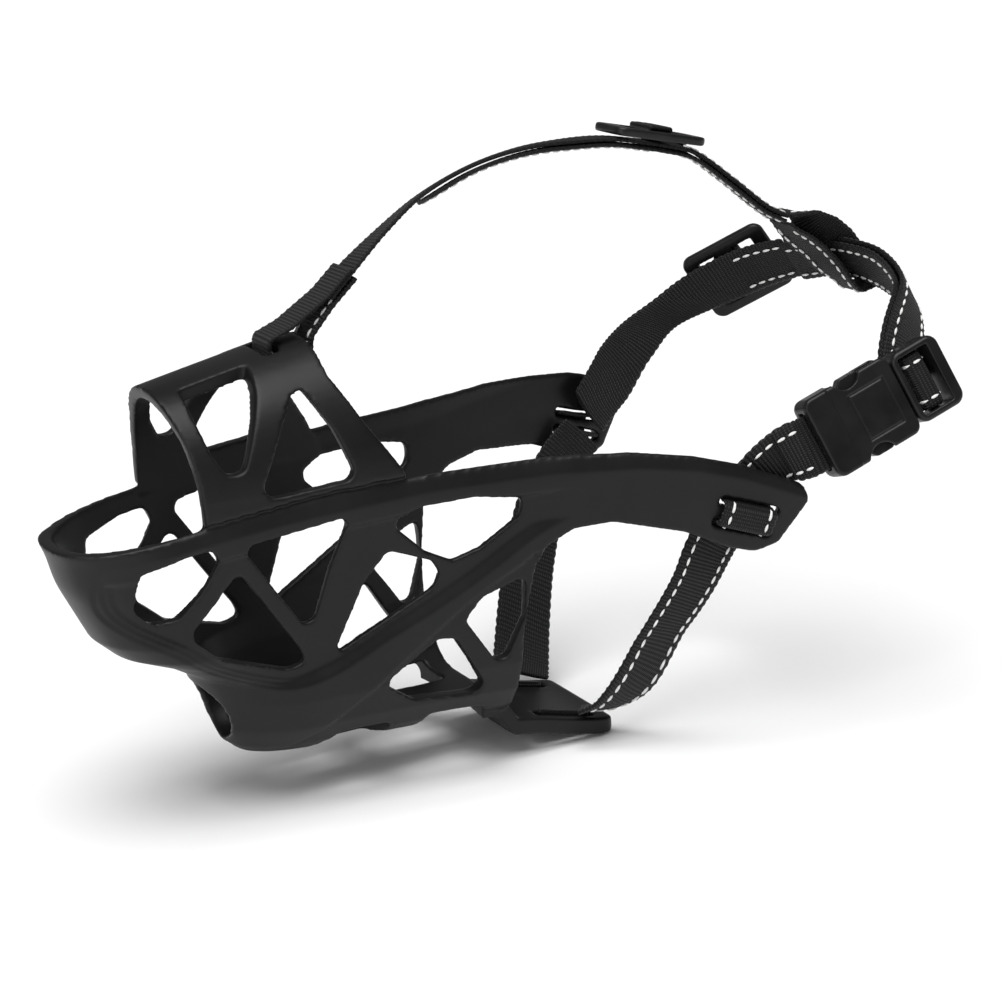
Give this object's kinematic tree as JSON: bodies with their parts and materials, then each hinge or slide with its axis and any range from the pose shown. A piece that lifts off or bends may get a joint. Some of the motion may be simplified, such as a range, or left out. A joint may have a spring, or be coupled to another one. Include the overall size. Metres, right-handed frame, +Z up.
{
  "type": "basket muzzle",
  "caption": "Moulded rubber basket muzzle for a dog, with lattice sides, a webbing neck and chin harness, an overhead strap and a side-release buckle.",
  "frame": {"origin": "on the plane of symmetry, on the underside of the chin strap tab just behind the floor of the basket", "axes": "+Z up, +X from the nose towards the dog's neck, +Y to the dog's far side from the buckle"},
  "size_m": [0.2393, 0.1024, 0.1487],
  "materials": {
    "moulded_rubber": "satin",
    "webbing": "matte woven",
    "narrow_webbing": "matte woven",
    "buckle_plastic": "semi-gloss",
    "slider_plastic": "semi-gloss",
    "reflective_thread": "reflective"
  },
  "bodies": {
    "muzzle": {"basket": "moulded_rubber", "wing_wrap_near": "webbing", "wing_wrap_far": "webbing", "chin_strap_near": "webbing", "chin_strap_far": "webbing", "chin_strap_bridge": "webbing", "neck_strap_near": "webbing", "neck_strap_near_return": "webbing", "neck_strap_far": "webbing", "neck_strap_rear": "webbing", "neck_strap_return": "webbing", "buckle_female": "buckle_plastic", "overhead_loop_front": "narrow_webbing", "overhead_strap_front": "narrow_webbing", "overhead_strap_tail": "narrow_webbing", "overhead_strap_rear": "narrow_webbing", "overhead_strap_return": "narrow_webbing", "overhead_loop_rear": "narrow_webbing", "reflective_thread": "reflective_thread"},
    "buckle_plug": {"buckle_male": "buckle_plastic", "buckle_strap_fold": "webbing"},
    "latch_upper": {"buckle_latch_upper": "buckle_plastic"},
    "latch_lower": {"buckle_latch_lower": "buckle_plastic"},
    "neck_adjuster": {"neck_adjuster": "slider_plastic", "neck_adjuster_wrap": "webbing"},
    "overhead_slider": {"overhead_slider": "slider_plastic", "overhead_slider_wrap": "narrow_webbing"}
  },
  "joints": [
    {"name": "buckle_release", "type": "slide", "parent": "muzzle", "child": "buckle_plug", "axis": [0.9307, -0.0871, 0.3553], "range_m": [0, 0.02]},
    {"name": "latch_upper_squeeze", "type": "hinge", "parent": "buckle_plug", "child": "latch_upper", "pos_m": [0.09067, -0.04573, 0.08582], "axis": [-0.2042, -0.9295, 0.3071], "range_deg": [0, 7], "stiffness_Nm_per_rad": 0.02},
    {"name": "latch_lower_squeeze", "type": "hinge", "parent": "buckle_plug", "child": "latch_lower", "pos_m": [0.09473, -0.05053, 0.07399], "axis": [0.2042, 0.9295, -0.3071], "range_deg": [0, 7], "stiffness_Nm_per_rad": 0.02},
    {"name": "neck_adjuster_slide", "type": "slide", "parent": "muzzle", "child": "neck_adjuster", "axis": [0.64, -0.6, 0.48], "range_m": [-0.004, 0.004]},
    {"name": "overhead_slider_slide", "type": "slide", "parent": "muzzle", "child": "overhead_slider", "axis": [0.976, 0, -0.218], "range_m": [-0.004, 0.004]}
  ],
  "couplings": [
    {"joint": "latch_lower_squeeze", "follows": "latch_upper_squeeze", "ratio": 1}
  ]
}
